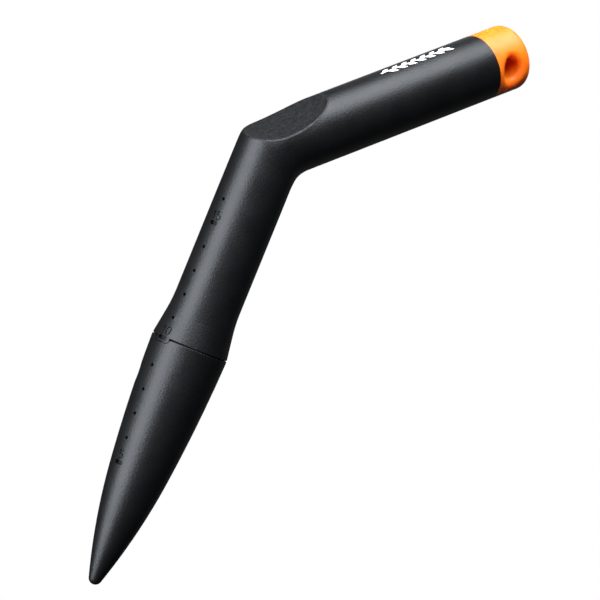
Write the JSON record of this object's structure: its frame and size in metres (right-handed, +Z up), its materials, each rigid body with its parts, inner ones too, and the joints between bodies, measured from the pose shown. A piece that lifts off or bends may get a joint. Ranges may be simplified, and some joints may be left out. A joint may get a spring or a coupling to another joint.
{
  "type": "garden dibber",
  "caption": "Hand dibber with a hollow tapered soil point, a marked depth scale, a bent grip with a thumb rest and a plug cap with a hanging hole.",
  "frame": {"origin": "the tip of the soil point, on the shaft's axis", "axes": "+Z up the shaft from the tip, +X towards the side the grip leans to, Y across the bend; the depth scale is on the -X side"},
  "size_m": [0.1274, 0.0312, 0.2647],
  "materials": {
    "handle_plastic": "fine-grained satin black glass-filled plastic",
    "point_plastic": "fine-grained satin black glass-filled plastic",
    "cap_plastic": "smooth satin-gloss orange plastic",
    "print_white": "matte white pad-printed mark"
  },
  "bodies": {
    "root": {"handle_body": "handle_plastic", "soil_point": "point_plastic", "end_cap": "cap_plastic"}
  },
  "joints": []
}
